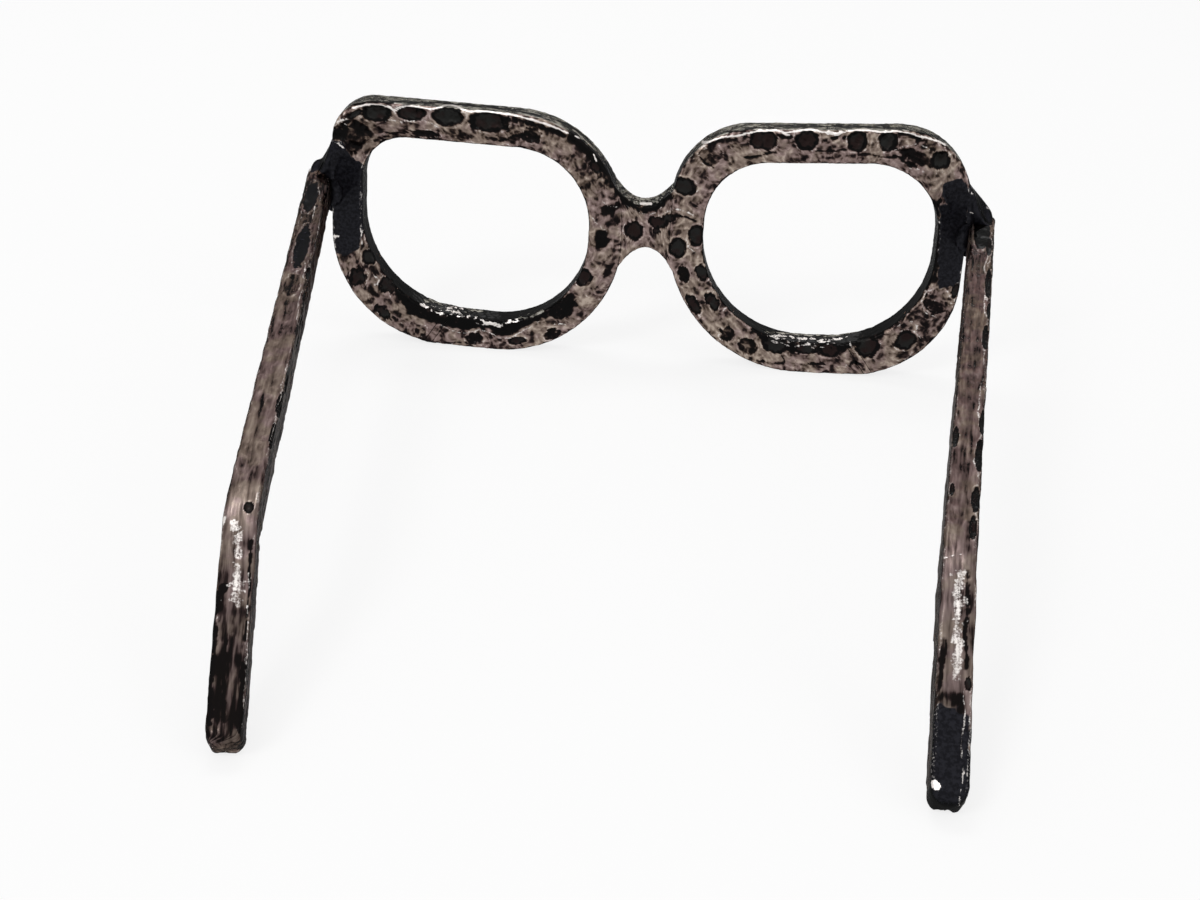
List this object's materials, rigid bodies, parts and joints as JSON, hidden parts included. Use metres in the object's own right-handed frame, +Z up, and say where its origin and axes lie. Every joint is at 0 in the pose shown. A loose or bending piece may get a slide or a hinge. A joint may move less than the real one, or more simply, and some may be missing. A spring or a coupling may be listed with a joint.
{
  "type": "eyeglasses sculpture",
  "caption": "Free-standing sculpture of eyeglasses in hammered, dark-patinated metal bar, with open rims, a saddle bridge and temples bent down at the ears.",
  "frame": {"origin": "on the floor under the middle of the glasses' box, between the temples", "axes": "+Z up, +Y the way the glasses face, +X to the wearer's right; the rims stand on the floor at +Y and the temple tips at -Y"},
  "size_m": [0.1578, 0.1683, 0.0595],
  "materials": {
    "hammered_bar": "hammered steel, blackened and rubbed back to brown-grey, clear lacquer",
    "temple_bar": "hammered steel, blackened and rubbed back along its length, black towards the tip, clear lacquer",
    "weld_metal": "ground weld, blackened, clear lacquer"
  },
  "bodies": {
    "root": {"left_rim": "hammered_bar", "right_rim": "hammered_bar", "left_rim_seam": "hammered_bar", "right_rim_seam": "hammered_bar", "bridge": "hammered_bar", "left_bridge_weld": "hammered_bar", "right_bridge_weld": "hammered_bar", "left_temple": "temple_bar", "right_temple": "temple_bar", "left_corner_weld": "weld_metal", "right_corner_weld": "weld_metal", "left_top_weld": "weld_metal", "right_top_weld": "weld_metal"}
  },
  "joints": []
}
